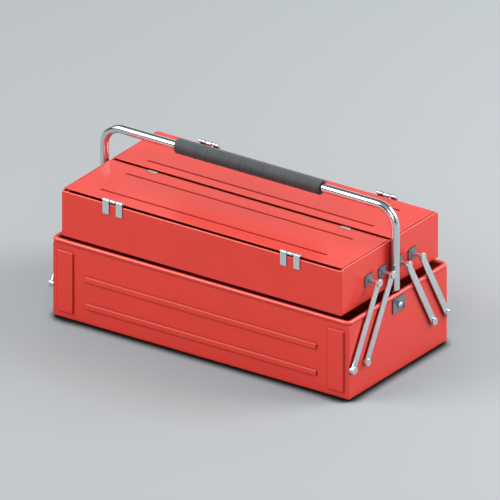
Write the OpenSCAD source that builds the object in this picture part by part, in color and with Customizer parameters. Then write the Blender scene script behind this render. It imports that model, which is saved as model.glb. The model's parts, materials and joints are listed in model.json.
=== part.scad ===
// Cantilever toolbox: a red steel base, two lidded trays that swing out on
// eight flat links, and a round bar handle with a foam grip.
// Origin: centre of the footprint, on the surface that the feet stand on.
// +X runs along the length, -Y is the front, +Z is up.

/* [Base box] */
// Length of the base over its end walls
base_l = 430; // [380:1:500]
// Width of the base over its long walls
base_w = 207; // [190:1:240]
// Height from the base's underside to the middle of the rolled rim
base_h = 100.2; // [85:0.2:130]
// Thickness of the steel sheet of the base and the trays
sheet_t = 1; // [0.8:0.05:1.2]
// Outside radius of the base's upright corners
base_corner_r = 1.8; // [1.4:0.1:2]
// Diameter of the rolled rim with its wire
rim_d = 5.2; // [4.6:0.1:5.8]
// How far the rim stands out past the walls
rim_out = 1.2; // [0.9:0.1:1.4]
// Plan radius of the rim's inside edge at the corners
rim_inner_r = 0.2; // [0.1:0.1:0.6]

/* [Pressings in the long walls] */
// How far the ribs and the end panels stand out of the wall
press_out = 1.1; // [0.8:0.1:1.5]
// Height of each long rib
rib_h = 6.6; // [5:0.2:9]
// Height of the lower rib's middle above the base's underside
rib_low = 24; // [18:1:30]
// Distance from the lower rib up to the upper one
rib_pitch = 35; // [20:1:45]
// Distance from the end of the base to the end of a rib
rib_end_in = 47; // [42:1:80]
// Width of each upright end panel
panel_w = 22.5; // [16:0.5:28]
// Distance from the end of the base to a panel
panel_end_in = 7.5; // [5:0.5:10]
// Height of a panel's lower edge above the base's underside
panel_low = 9; // [6:1:15]
// Distance from the middle of the rim down to a panel's upper edge
panel_below_rim = 11.7; // [8:0.1:20]
// Corner radius of the ribs and panels
press_r = 1.5; // [1.3:0.1:2.5]

/* [Feet] */
// Height of the rubber feet
foot_h = 2.5; // [2:0.1:6]
// Diameter of the rubber feet
foot_d = 16; // [12:1:24]
// Distance from the base's faces to the middle of a foot
foot_in = 20; // [14:1:40]
// Diameter of the stem that is pushed through the floor
foot_stem_d = 5; // [3:0.5:5.5]
// Diameter of the bulb that holds the stem inside the box
foot_bulb_d = 7; // [6:0.5:10]
// Height of the bulb
foot_bulb_h = 1.5; // [1:0.1:3]

/* [Trays] */
// Height of a tray's walls
tray_h = 59.4; // [45:0.2:75]
// Gap between the rim of the base and the underside of the trays
tray_rim_gap = 4.7; // [2:0.1:10]
// How far the outer wall of a tray stands in from the base's long wall
tray_set_in = 1; // [0.5:0.1:3]
// Gap between the two closed trays
seam_gap = 3; // [2:0.1:6]
// Outside radius of the trays' upright corners
tray_corner_r = 3; // [2:0.1:5]
// Width of the flange that the lid rests on, at the ends and at the seam
flange_w = 8; // [6:0.5:12]
// Thickness of the folded part of the hem along the hinges
hem_t = 1.5; // [1.3:0.1:1.7]
// Height of the hem
hem_h = 8; // [5:0.5:12]

/* [Lids] */
// Thickness of a lid
lid_t = 1.2; // [1:0.05:1.4]
// Gap between a closed lid and the flange under it
lid_seat_gap = 0.3; // [0.2:0.05:0.5]
// How far a lid's ends stand in from the tray's ends
lid_end_in = 1; // [0.5:0.1:2]
// Distance from the tray's outer face to the lid's hinged edge
lid_hinge_in = 5.3; // [5:0.1:7]
// Distance from the tray's seam face to the lid's free edge
lid_seam_in = 1.7; // [1:0.1:3]
// Width of the grooves pressed into the lid
groove_w = 2.6; // [2:0.1:4]
// Depth of the grooves
groove_depth = 0.9; // [0.5:0.1:1.1]
// Distance from the lid's free edge to the first groove
groove_seam_in = 19.2; // [12:0.1:30]
// Distance from the lid's hinged edge to the second groove
groove_hinge_in = 21; // [18:0.5:30]
// Distance from the lid's ends to the grooves' ends
groove_end_in = 37.2; // [20:0.2:60]
// Length of each lift tab on the front lid
tab_l = 13.8; // [10:0.2:20]
// Width of each lift tab
tab_w = 4.2; // [3:0.1:5]
// Corner radius of each lift tab
tab_r = 1; // [0.3:0.1:1.4]
// Thickness of each lift tab
tab_t = 0.8; // [0.5:0.1:1.2]
// How far a tab reaches out past the lid's free edge
tab_over = 1.8; // [1:0.1:2.2]
// Distance from the lid's ends to the middle of a tab
tab_end_in = 62.2; // [30:0.2:90]

/* [Lid hinges] */
// Distance from the tray's end to the middle of a hinge
hinge_end_in = 74.4; // [40:0.2:110]
// Distance from the tray's outer face in to the hinge axis
hinge_axis_in = 1.1; // [1:0.05:1.2]
// Height of the hinge axis above the tray's walls
hinge_axis_up = 3.2; // [3:0.1:4]
// Diameter of the hinge knuckles
knuckle_d = 4.3; // [4.2:0.05:4.6]
// Length of each of the three knuckles
knuckle_l = 9.3; // [7:0.1:12]
// Diameter of the hinge pin
hinge_pin_d = 2; // [1.6:0.1:2.2]
// Width of the straps on the tray's outer face
strap_w = 9; // [6:0.1:9.2]
// Length of the straps below the top of the tray
strap_drop = 14; // [9:0.5:20]
// Thickness of the straps
strap_t = 1; // [0.9:0.05:1.1]
// Thickness of the leaf under the lid
leaf_t = 0.9; // [0.7:0.05:1.1]
// How far the leaf reaches in under the lid
leaf_reach = 11; // [8:0.5:14]

/* [Links] */
// Width of a link
link_w = 9; // [7:0.2:11]
// Thickness of a link
link_t = 2.1; // [1.5:0.1:3]
// Distance between the two pivots of a pair, on the base and on the tray
pivot_gap = 28.8; // [24:0.2:34]
// Height of the lower pivots above the base's underside
low_pivot_h = 39; // [30:0.5:50]
// Distance from the base's long face to the outer lower pivot
low_pivot_in = 4.5; // [4.4:0.1:8]
// Height of the upper pivots above the tray's underside
up_pivot_h = 26.5; // [18:0.5:35]
// Distance from the tray's seam face to the inner upper pivot
up_pivot_in = 15.4; // [13:0.1:20]
// Thickness of the spacers between the base and the links
spacer_t = 1.8; // [1.6:0.1:3]
// Diameter of those spacers
spacer_d = 8.4; // [6:0.2:8.8]
// Diameter of the lower pins
pin_d = 4; // [3:0.1:4.4]
// Diameter of the disc heads at both ends of the links
head_d = 9.8; // [7:0.1:11]
// Thickness of the disc heads
head_t = 2.1; // [1.2:0.1:3]
// Diameter of the pins' tails, peened over inside the base
tail_d = 5.2; // [4.6:0.1:5.3]
// Thickness of the peened tails of pins and studs
tail_t = 1; // [0.6:0.1:1.6]

/* [Tray studs] */
// Diameter of the rods that carry the trays
stud_d = 4.2; // [3.6:0.1:5]
// Diameter of the journal that turns in the link
journal_d = 3.4; // [2.6:0.1:3.5]
// Diameter of the studs' tails, peened over inside the tray
stud_tail_d = 6.5; // [5.4:0.1:9]
// Length of the dark plate behind each stud
stud_plate_l = 16; // [10:0.5:22]
// Height of the dark plate
stud_plate_h = 14; // [10:0.5:20]
// Thickness of the dark plate
stud_plate_t = 1.2; // [0.8:0.1:1.6]

/* [Handle] */
// Diameter of the handle's tube
tube_d = 11; // [9:0.1:12]
// Height of the grip's axis above the handle's bolts
handle_reach = 124.1; // [115:0.1:180]
// Radius of the handle's bends, to the middle of the tube
bend_r = 25; // [15:0.5:40]
// Gap between the handle's legs and the links
leg_link_gap = 0.5; // [0.4:0.1:2]
// Gap between the handle's legs and the trays' ends
leg_tray_gap = 2.2; // [1.8:0.1:5]
// Width of the flattened ends
tang_w = 13; // [11:0.5:14]
// Thickness of the flattened ends
tang_t = 2.5; // [2:0.1:4]
// Gap between the flattened ends and the rim
tang_rim_gap = 0.3; // [0.3:0.1:1]
// Height of the flattening's lower end above the top of the rim
flare_up = 3.7; // [3:0.1:8]
// Length over which the round tube is flattened
flare_l = 14; // [10:0.5:25]
// Diameter of the foam grip
grip_d = 18.2; // [15:0.1:24]
// Length of the foam grip
grip_l = 210.6; // [120:0.6:260]
// Number of rings that the grip is divided into
grip_n = 13; // [5:1:20]
// Depth of the shallow grooves between the grip's rings
grip_groove = 0.45; // [0.2:0.05:0.8]
// Width of those grooves
grip_groove_w = 4; // [2:0.5:6]
// Size of the rounding at the grip's ends
grip_end = 2.5; // [1:0.1:3]

/* [Handle bolts] */
// Distance from the middle of the rim down to the bolts
bolt_below_rim = 12; // [11:0.1:20]
// Diameter of the bolts
bolt_d = 5; // [4:0.1:6]
// Diameter of the bolts' round heads
bolt_head_d = 8; // [7:0.1:10]
// Height of the bolts' heads
bolt_head_t = 4; // [2:0.1:4.4]
// Width across the flats of the nuts inside
nut_af = 8; // [7.5:0.1:10]
// Thickness of the nuts
nut_t = 3.5; // [2.5:0.1:4]
// How far a bolt's end stands out of its nut
bolt_end = 1; // [0.5:0.1:1.2]
// Diameter of the spacer between the wall and the flattened end
bolt_spacer_d = 12; // [9:0.5:15]
// Length of the dark backing plate, along the end wall
plate_l = 24.6; // [16:0.2:30]
// Height of the backing plate
plate_h = 19.2; // [14:0.1:19.4]
// Thickness of the backing plate
plate_t = 1.5; // [1:0.1:2]

/* [Fits] */
// Radial clearance of each pin in its bore
pin_fit = 0.05; // [0.03:0.01:0.08]
// Clearance between faces that turn against each other
side_gap = 0.1; // [0.05:0.01:0.15]
// Gap between neighbouring hinge knuckles
knuckle_gap = 0.3; // [0.2:0.05:0.5]
// Gap between the hinge leaf and the hem that it passes
leaf_hem_gap = 0.3; // [0.2:0.05:0.35]

/* [Hidden] */
$fn = 48;

// Heights
wall_z = foot_h;
rim_z = wall_z + base_h;
rim_top = rim_z + rim_d / 2;
low_pivot_z = wall_z + low_pivot_h;
bolt_z = rim_z - bolt_below_rim;
tray_z = rim_top + tray_rim_gap;
tray_top = tray_z + tray_h;
up_pivot_z = tray_z + up_pivot_h;
lid_z = tray_top + lid_seat_gap;
lid_top = lid_z + lid_t;
hinge_z = tray_top + hinge_axis_up;
grip_z = bolt_z + handle_reach;

// Places along X, from the middle outwards
wall_x = base_l / 2;
wall_in_x = wall_x - sheet_t;
rim_x = wall_x + rim_out - rim_d / 2;
rim_in_x = rim_x - rim_d / 2;
link_x = wall_x + spacer_t + side_gap;
head_x = link_x + link_t + side_gap;
leg_x = link_x - leg_link_gap - tube_d / 2;
tray_x = leg_x - tube_d / 2 - leg_tray_gap;
tray_in_x = tray_x - sheet_t;
lid_x = tray_x - lid_end_in;
tang_x = rim_in_x - tang_rim_gap - tang_t;
nut_x = tang_x - side_gap - nut_t;
hinge_x = tray_x - hinge_end_in;
tab_x = lid_x - tab_end_in;

// Places along Y, for the back half; the front half mirrors them
wall_y = base_w / 2;
rim_y = wall_y + rim_out - rim_d / 2;
tray_out_y = wall_y - tray_set_in;
tray_seam_y = seam_gap / 2;
tray_w = tray_out_y - tray_seam_y;
hem_in_y = tray_out_y - sheet_t - hem_t;
lid_hinge_y = tray_out_y - lid_hinge_in;
lid_seam_y = tray_seam_y + lid_seam_in;
hinge_y = tray_out_y - hinge_axis_in;
low_outer_y = wall_y - low_pivot_in;
low_inner_y = low_outer_y - pivot_gap;
up_inner_y = tray_seam_y + up_pivot_in;
up_outer_y = up_inner_y + pivot_gap;

// The links lean inwards by this angle when the trays are closed
lean_y = low_outer_y - up_outer_y;
lean_z = up_pivot_z - low_pivot_z;
link_l = sqrt(lean_y * lean_y + lean_z * lean_z);
link_lean = atan2(lean_y, lean_z);

// The flattened stretch laps into its neighbours by this much
flare_lap = 0.2;

// Cuts run past the faces that they open by this much
cut = 1;

// Shared shapes

// Puts a piece of the back right quarter at another end or side
module place(end, side) {
    mirror([end < 0 ? 1 : 0, 0, 0])
        mirror([0, side < 0 ? 1 : 0, 0])
            children();
}

// Rectangle with rounded corners, centred
module round_rect(l, w, r) {
    square([l - 2 * r, w], center = true);
    square([l, w - 2 * r], center = true);
    for (sx = [-1, 1], sy = [-1, 1])
        translate([sx * (l / 2 - r), sy * (w / 2 - r)])
            circle(r);
}

// Long bar with round ends along X, centred
module bar_outline(l, w) {
    square([l - w, w], center = true);
    for (end = [-1, 1])
        translate([end * (l - w) / 2, 0])
            circle(d = w);
}

// Round bar along X from x0 to x1, on the axis at y, z
module rod_x(x0, x1, d, y = 0, z = 0) {
    translate([x0, y, z])
        rotate([0, 90, 0])
            cylinder(h = x1 - x0, d = d);
}

// Flat outline in the YZ plane, given a thickness along X from x0 to x1
module plate_x(x0, x1) {
    translate([x0, 0, 0])
        rotate([90, 0, 90])
            linear_extrude(x1 - x0)
                children();
}

// Ring along X
module ring_x(x0, x1, d, bore_d, y = 0, z = 0) {
    difference() {
        rod_x(x0, x1, d, y, z);
        rod_x(x0 - cut, x1 + cut, bore_d, y, z);
    }
}

// Base box

// The outline of one rib or panel, grown by a margin, on the back wall
module pressing(x, z, l, h, depth, margin, from_y) {
    translate([x, from_y + depth, z])
        rotate([90, 0, 0])
            linear_extrude(depth)
                round_rect(l + 2 * margin, h + 2 * margin, press_r + margin);
}

// Two long ribs and two upright panels, each drawn with the same depth
module wall_pressings(depth, margin, from_y) {
    panel_h = base_h - panel_below_rim - panel_low;
    panel_x = wall_x - panel_end_in - panel_w / 2;
    for (i = [0, 1])
        pressing(0, wall_z + rib_low + i * rib_pitch, base_l - 2 * rib_end_in, rib_h,
                 depth, margin, from_y);
    for (end = [-1, 1])
        pressing(end * panel_x, wall_z + panel_low + panel_h / 2, panel_w, panel_h,
                 depth, margin, from_y);
}

// Closed round rim with four quarter bends
module rim() {
    rb = rim_inner_r + rim_d / 2;
    for (side = [-1, 1])
        rod_x(-(rim_x - rb), rim_x - rb, rim_d, side * rim_y, rim_z);
    for (end = [-1, 1])
        translate([end * rim_x, -(rim_y - rb), rim_z])
            rotate([-90, 0, 0])
                cylinder(h = 2 * (rim_y - rb), d = rim_d);
    for (i = [0 : 3])
        translate([(i == 0 || i == 3 ? 1 : -1) * (rim_x - rb), (i < 2 ? 1 : -1) * (rim_y - rb), rim_z])
            rotate([0, 0, 90 * i])
                rotate_extrude(angle = 90)
                    translate([rb, 0])
                        circle(d = rim_d);
}

module base_shell() {
    color("tomato")
    union() {
        difference() {
            union() {
                translate([0, 0, wall_z])
                    linear_extrude(base_h)
                        round_rect(base_l, base_w, base_corner_r);
                for (side = [-1, 1])
                    place(1, side)
                        wall_pressings(press_out + sheet_t / 2, 0, wall_y - sheet_t / 2);
            }
            translate([0, 0, wall_z + sheet_t])
                linear_extrude(base_h)
                    round_rect(base_l - 2 * sheet_t, base_w - 2 * sheet_t, base_corner_r - sheet_t);
            for (side = [-1, 1])
                place(1, side)
                    wall_pressings(press_out + cut, -sheet_t, wall_y - sheet_t - cut);
            for (end = [-1, 1])
                place(end, 1)
                    end_wall_bores();
            for (sx = [-1, 1], sy = [-1, 1])
                translate([sx * (wall_x - foot_in), sy * (wall_y - foot_in), wall_z - cut])
                    cylinder(h = sheet_t + 2 * cut, d = foot_stem_d + 2 * pin_fit);
        }
        rim();
    }
}

// Bores of one end wall: four link pins and the handle's bolt
module end_wall_bores() {
    for (y = [low_outer_y, low_inner_y], side = [-1, 1])
        rod_x(wall_in_x - cut, wall_x + cut, pin_d + 2 * pin_fit, side * y, low_pivot_z);
    rod_x(wall_in_x - cut, wall_x + cut, bolt_d + 2 * pin_fit, 0, bolt_z);
}

// A rubber foot with a stem through the floor and a bulb above it
module foot() {
    cylinder(h = foot_h, d = foot_d);
    cylinder(h = foot_h + sheet_t + foot_bulb_h / 2, d = foot_stem_d);
    translate([0, 0, foot_h + sheet_t])
        cylinder(h = foot_bulb_h, d1 = foot_bulb_d, d2 = foot_stem_d);
}

module feet() {
    color("dimgray")
    for (sx = [-1, 1], sy = [-1, 1])
        translate([sx * (wall_x - foot_in), sy * (wall_y - foot_in), 0])
            foot();
}

// Handle fixings

module handle_plate(end) {
    color("darkslategray")
    place(end, 1)
        difference() {
            translate([wall_x, -plate_l / 2, bolt_z - plate_h / 2])
                cube([plate_t, plate_l, plate_h]);
            rod_x(wall_x - cut, wall_x + plate_t + cut, bolt_d + 2 * pin_fit, 0, bolt_z);
        }
}

module handle_bolt(end) {
    color("silver")
    place(end, 1) {
        rod_x(nut_x - bolt_end, wall_x + plate_t, bolt_d, 0, bolt_z);
        rod_x(wall_x + plate_t, wall_x + plate_t + bolt_head_t, bolt_head_d, 0, bolt_z);
    }
}

module handle_spacer(end) {
    color("silver")
    place(end, 1)
        ring_x(tang_x + tang_t + side_gap, wall_in_x, bolt_spacer_d, bolt_d + 2 * pin_fit, 0, bolt_z);
}

module handle_nut(end) {
    color("silver")
    place(end, 1)
        difference() {
            translate([nut_x, 0, bolt_z])
                rotate([0, 90, 0])
                    cylinder(h = nut_t, d = nut_af / cos(30), $fn = 6);
            rod_x(nut_x - cut, nut_x + nut_t + cut, bolt_d + 2 * pin_fit, 0, bolt_z);
        }
}

module handle_plate_right() handle_plate(1);
module handle_plate_left() handle_plate(-1);
module handle_bolt_right() handle_bolt(1);
module handle_bolt_left() handle_bolt(-1);
module handle_spacer_right() handle_spacer(1);
module handle_spacer_left() handle_spacer(-1);
module handle_nut_right() handle_nut(1);
module handle_nut_left() handle_nut(-1);

// Link pivots on the base

module link_pin(y) {
    rod_x(head_x, head_x + head_t, head_d, y, low_pivot_z);
    rod_x(wall_in_x, head_x, pin_d, y, low_pivot_z);
    rod_x(wall_in_x - tail_t, wall_in_x, tail_d, y, low_pivot_z);
}

module link_pins(end) {
    color("silver")
    place(end, 1)
        for (y = [low_outer_y, low_inner_y], side = [-1, 1])
            link_pin(side * y);
}

module link_spacers(end) {
    color("gray")
    place(end, 1)
        for (y = [low_outer_y, low_inner_y], side = [-1, 1])
            ring_x(wall_x, wall_x + spacer_t, spacer_d, pin_d + 2 * pin_fit, side * y, low_pivot_z);
}

module link_pins_right() link_pins(1);
module link_pins_left() link_pins(-1);
module link_spacers_right() link_spacers(1);
module link_spacers_left() link_spacers(-1);

// Links

// A flat bar with round ends, from its lower pivot at height 0 up to its upper one
module link_outline() {
    difference() {
        translate([0, link_l / 2])
            rotate(90)
                bar_outline(link_l + link_w, link_w);
        circle(d = pin_d + 2 * pin_fit);
        translate([0, link_l])
            circle(d = journal_d + 2 * pin_fit);
    }
}

module link(end, side, low_y) {
    color("lightsteelblue")
    place(end, side)
        plate_x(link_x, link_x + link_t)
            translate([low_y, low_pivot_z])
                rotate(link_lean)
                    link_outline();
}

module link_outer_front_right() link(1, -1, low_outer_y);
module link_inner_front_right() link(1, -1, low_inner_y);
module link_outer_front_left() link(-1, -1, low_outer_y);
module link_inner_front_left() link(-1, -1, low_inner_y);
module link_outer_back_right() link(1, 1, low_outer_y);
module link_inner_back_right() link(1, 1, low_inner_y);
module link_outer_back_left() link(-1, 1, low_outer_y);
module link_inner_back_left() link(-1, 1, low_inner_y);

// Trays

// The plan outline of a tray, drawn in by a margin, as far out as out_y
module tray_outline(margin, out_y) {
    intersection() {
        translate([0, (tray_out_y + tray_seam_y) / 2])
            round_rect(2 * (tray_x - margin), tray_w - 2 * margin, tray_corner_r - margin);
        translate([-tray_x, tray_seam_y])
            square([2 * tray_x, out_y - tray_seam_y]);
    }
}

module tray(side) {
    open_l = 2 * (tray_x - flange_w);
    open_y = tray_seam_y + flange_w;
    color("tomato")
    place(1, side)
        difference() {
            translate([0, 0, tray_z])
                linear_extrude(tray_h)
                    tray_outline(0, tray_out_y);
            // The space below the hem, then beside it
            translate([0, 0, tray_z + sheet_t])
                linear_extrude(tray_h - sheet_t - hem_h)
                    tray_outline(sheet_t, tray_out_y);
            translate([0, 0, tray_top - hem_h - cut])
                linear_extrude(hem_h - sheet_t + cut)
                    tray_outline(sheet_t, hem_in_y);
            // The opening that the lid covers
            translate([-open_l / 2, open_y, tray_top - sheet_t - cut])
                cube([open_l, hem_in_y - open_y, sheet_t + 2 * cut]);
            for (end = [-1, 1], y = [up_inner_y, up_outer_y])
                place(end, 1)
                    rod_x(tray_in_x - cut, tray_x + cut, stud_d + 2 * pin_fit, y, up_pivot_z);
        }
}

module stud_plates(side) {
    color("darkslategray")
    for (end = [-1, 1], y = [up_inner_y, up_outer_y])
        place(end, side)
            difference() {
                translate([tray_x, y - stud_plate_l / 2, up_pivot_z - stud_plate_h / 2])
                    cube([stud_plate_t, stud_plate_l, stud_plate_h]);
                rod_x(tray_x - cut, tray_x + stud_plate_t + cut, stud_d + 2 * pin_fit, y, up_pivot_z);
            }
}

// A rod with a shoulder against the link, a journal in it and a disc head outside
module tray_stud(y) {
    rod_x(tray_in_x - tail_t, tray_in_x, stud_tail_d, y, up_pivot_z);
    rod_x(tray_in_x, link_x - side_gap, stud_d, y, up_pivot_z);
    rod_x(link_x - side_gap, head_x, journal_d, y, up_pivot_z);
    rod_x(head_x, head_x + head_t, head_d, y, up_pivot_z);
}

module tray_studs(side) {
    color("silver")
    for (end = [-1, 1], y = [up_inner_y, up_outer_y])
        place(end, side)
            tray_stud(y);
}

module tray_front() tray(-1);
module tray_back() tray(1);
module stud_plates_front() stud_plates(-1);
module stud_plates_back() stud_plates(1);
module tray_studs_front() tray_studs(-1);
module tray_studs_back() tray_studs(1);

// Lid hinges

// Two straps on the tray's outer face, each rolled into a knuckle
module hinge_straps(end, side) {
    pitch = knuckle_l + knuckle_gap;
    color("silver")
    place(end, side)
        for (i = [-1, 1])
            difference() {
                union() {
                    rod_x(hinge_x + i * pitch - knuckle_l / 2, hinge_x + i * pitch + knuckle_l / 2,
                          knuckle_d, hinge_y, hinge_z);
                    translate([hinge_x + i * pitch - strap_w / 2, tray_out_y, tray_top - strap_drop])
                        cube([strap_w, strap_t, strap_drop + hinge_axis_up]);
                }
                rod_x(hinge_x + i * pitch - knuckle_l, hinge_x + i * pitch + knuckle_l,
                      hinge_pin_d + 2 * pin_fit, hinge_y, hinge_z);
            }
}

module hinge_pin(end, side) {
    half_l = 1.5 * knuckle_l + knuckle_gap;
    color("silver")
    place(end, side)
        rod_x(hinge_x - half_l, hinge_x + half_l, hinge_pin_d, hinge_y, hinge_z);
}

// The middle knuckle, with a web down past the hem and a leaf under the lid
module hinge_leaf(end, side) {
    web_y = hem_in_y - leaf_hem_gap;
    bridge_y = hinge_y - hinge_pin_d / 2 - leaf_t / 2;
    color("silver")
    place(end, side)
        plate_x(hinge_x - knuckle_l / 2, hinge_x + knuckle_l / 2)
            difference() {
                union() {
                    translate([hinge_y, hinge_z])
                        circle(d = knuckle_d);
                    translate([web_y - leaf_t, lid_z - leaf_t])
                        square([leaf_t, hinge_z - lid_z + 2 * leaf_t]);
                    translate([web_y - leaf_t, hinge_z - leaf_t])
                        square([bridge_y - web_y + leaf_t, 2 * leaf_t]);
                    translate([lid_hinge_y - leaf_reach, lid_z - leaf_t])
                        square([web_y - lid_hinge_y + leaf_reach, leaf_t]);
                }
                translate([hinge_y, hinge_z])
                    circle(d = hinge_pin_d + 2 * pin_fit);
            }
}

module hinge_straps_front_right() hinge_straps(1, -1);
module hinge_straps_front_left() hinge_straps(-1, -1);
module hinge_straps_back_right() hinge_straps(1, 1);
module hinge_straps_back_left() hinge_straps(-1, 1);
module hinge_pin_front_right() hinge_pin(1, -1);
module hinge_pin_front_left() hinge_pin(-1, -1);
module hinge_pin_back_right() hinge_pin(1, 1);
module hinge_pin_back_left() hinge_pin(-1, 1);
module hinge_leaf_front_right() hinge_leaf(1, -1);
module hinge_leaf_front_left() hinge_leaf(-1, -1);
module hinge_leaf_back_right() hinge_leaf(1, 1);
module hinge_leaf_back_left() hinge_leaf(-1, 1);

// Lids

// Two bars over the width of a lid, for the grooves and the ridges under them
module groove_bars(margin, z0, h) {
    for (y = [lid_seam_y + groove_seam_in, lid_hinge_y - groove_hinge_in])
        translate([0, y, z0])
            linear_extrude(h)
                bar_outline(2 * (lid_x - groove_end_in + margin), groove_w + 2 * margin);
}

module lid(side) {
    groove_z = lid_top - groove_depth;
    color("salmon")
    place(1, side)
        difference() {
            union() {
                translate([-lid_x, lid_seam_y, lid_z])
                    cube([2 * lid_x, lid_hinge_y - lid_seam_y, lid_t]);
                groove_bars(lid_t, groove_z - lid_t, groove_depth + lid_t / 2);
            }
            groove_bars(0, groove_z, groove_depth + cut);
        }
}

module lid_front() lid(-1);
module lid_back() lid(1);

// Two small lift tabs on the free edge of the front lid
module lid_tabs() {
    color("darkgray")
    for (end = [-1, 1])
        place(end, -1)
            translate([tab_x, lid_seam_y - tab_over + tab_w / 2, lid_top])
                linear_extrude(tab_t)
                    round_rect(tab_l, tab_w, tab_r);
}

// Handle

module handle_tube() {
    leg_top = grip_z - bend_r;
    flare_z = rim_top + flare_up;
    color("gainsboro")
    union() {
        rod_x(-(leg_x - bend_r), leg_x - bend_r, tube_d, 0, grip_z);
        for (end = [-1, 1])
            place(end, 1) {
                translate([leg_x - bend_r, 0, leg_top])
                    rotate([90, 0, 0])
                        rotate_extrude(angle = 90)
                            translate([bend_r, 0])
                                circle(d = tube_d);
                translate([leg_x, 0, flare_z + flare_l - flare_lap])
                    cylinder(h = leg_top - flare_z - flare_l + flare_lap, d = tube_d);
                flare(flare_z);
                tang(flare_z);
            }
    }
}

// The stretch over which the tube is pressed flat. It reaches into the round leg
// and the flat end by a short lap, and is a little slimmer than both there.
module flare(z) {
    slim = flare_lap / 2;
    hull() {
        translate([leg_x, 0, z + flare_l - flare_lap])
            cylinder(h = flare_lap, d = tube_d - 2 * slim, $fn = 32);
        translate([tang_x + slim, slim - tang_w / 2, z])
            cube([tang_t - 2 * slim, tang_w - 2 * slim, flare_lap]);
    }
}

// The flat end with its round foot and the bolt's bore
module tang(z) {
    plate_x(tang_x, tang_x + tang_t)
        difference() {
            union() {
                translate([-tang_w / 2, bolt_z])
                    square([tang_w, z + flare_lap - bolt_z]);
                translate([0, bolt_z])
                    circle(d = tang_w);
            }
            translate([0, bolt_z])
                circle(d = bolt_d + 2 * pin_fit);
        }
}

// A shallow groove between two rings, as points of radius and place along the grip
function groove_points(x) = [
    [grip_d / 2, x - grip_groove_w / 2],
    [grip_d / 2 - grip_groove, x],
    [grip_d / 2, x + grip_groove_w / 2]
];

// The rounding at one end, from angle a0 to angle a1
function end_points(end, a0, a1) = [
    for (i = [0 : 4])
        let (a = a0 + (a1 - a0) * i / 4)
        [grip_d / 2 - grip_end + grip_end * cos(a), end * (grip_l / 2 - grip_end + grip_end * sin(a))]
];

module handle_grip() {
    ring_l = grip_l / grip_n;
    bore_r = tube_d / 2 + pin_fit;
    outline = concat(
        [[bore_r, -grip_l / 2]],
        end_points(-1, 90, 0),
        [for (i = [1 : grip_n - 1]) each groove_points(i * ring_l - grip_l / 2)],
        end_points(1, 0, 90),
        [[bore_r, grip_l / 2]]
    );
    color("dimgray")
    translate([0, 0, grip_z])
        rotate([0, 90, 0])
            rotate_extrude()
                polygon(outline);
}

base_shell();
feet();
handle_plate_right();
handle_plate_left();
handle_bolt_right();
handle_bolt_left();
handle_spacer_right();
handle_spacer_left();
handle_nut_right();
handle_nut_left();
link_pins_right();
link_pins_left();
link_spacers_right();
link_spacers_left();
link_outer_front_right();
link_inner_front_right();
link_outer_front_left();
link_inner_front_left();
link_outer_back_right();
link_inner_back_right();
link_outer_back_left();
link_inner_back_left();
tray_front();
tray_back();
stud_plates_front();
stud_plates_back();
tray_studs_front();
tray_studs_back();
hinge_straps_front_right();
hinge_straps_front_left();
hinge_straps_back_right();
hinge_straps_back_left();
hinge_pin_front_right();
hinge_pin_front_left();
hinge_pin_back_right();
hinge_pin_back_left();
hinge_leaf_front_right();
hinge_leaf_front_left();
hinge_leaf_back_right();
hinge_leaf_back_left();
lid_front();
lid_back();
lid_tabs();
handle_tube();
handle_grip();
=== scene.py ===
"""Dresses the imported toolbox: painted sheet, plated links, a bright bent handle, a foam grip.

Lengths in the tables below are in millimetres and are turned to metres by MM. Heights are above
the surface that the feet stand on. Pieces are drawn for the back right quarter and mirrored.
"""
import json
import math

import bmesh
import bpy
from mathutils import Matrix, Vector

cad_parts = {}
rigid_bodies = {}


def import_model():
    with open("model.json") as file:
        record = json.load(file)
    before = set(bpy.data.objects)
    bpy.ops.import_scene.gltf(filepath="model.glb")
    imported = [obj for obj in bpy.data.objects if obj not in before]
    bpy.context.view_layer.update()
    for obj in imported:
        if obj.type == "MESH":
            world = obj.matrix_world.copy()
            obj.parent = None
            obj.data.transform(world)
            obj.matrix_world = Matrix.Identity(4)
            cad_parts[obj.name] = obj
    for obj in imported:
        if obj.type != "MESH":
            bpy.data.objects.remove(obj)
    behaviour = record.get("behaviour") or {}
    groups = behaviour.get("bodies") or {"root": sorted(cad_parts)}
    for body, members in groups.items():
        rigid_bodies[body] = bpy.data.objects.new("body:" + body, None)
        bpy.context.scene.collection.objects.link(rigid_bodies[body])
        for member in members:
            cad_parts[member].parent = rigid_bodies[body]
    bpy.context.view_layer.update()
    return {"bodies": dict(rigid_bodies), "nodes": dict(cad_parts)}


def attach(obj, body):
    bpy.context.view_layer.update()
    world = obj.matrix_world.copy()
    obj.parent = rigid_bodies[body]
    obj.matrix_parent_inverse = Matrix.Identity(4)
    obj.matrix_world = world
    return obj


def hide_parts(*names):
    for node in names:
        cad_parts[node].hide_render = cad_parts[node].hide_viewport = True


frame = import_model()
MM = 0.001

bl_info = {
    "name": "Cantilever toolbox",
    "version": (1, 0, 0),
    "blender": (4, 5, 0),
    "location": "3D View > Sidebar > Toolbox",
    "description": "Builds the painted, plated and rubber pieces of a cantilever toolbox",
    "category": "Object",
}

# Base box: its walls, its rim's bead with the centre's distance inside the wall, and the corners,
# which open out from BLEND_Z up to meet the bead
WALL_X, WALL_Y, BASE_Z = 215.0, 103.5, 2.5
RIM_Z, RIM_R, RIM_IN, RIM_WRAP = 102.75, 2.95, 1.2, 262
BASE_CORNER, RIM_CORNER, BLEND_Z = 1.4, 4.6, 98.6
RIB_ENDS, RIB_H, RIB_ZS = 168.0, 6.6, (26.5, 61.5)
PANEL_XS, PANEL_ZS = (185.0, 207.5), (11.5, 91.0)
# Pressings have this corner, and lie within these distances along and out
PRESS_CORNER, PRESS_X, PRESS_Y = 1.5, 209, 100

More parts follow.
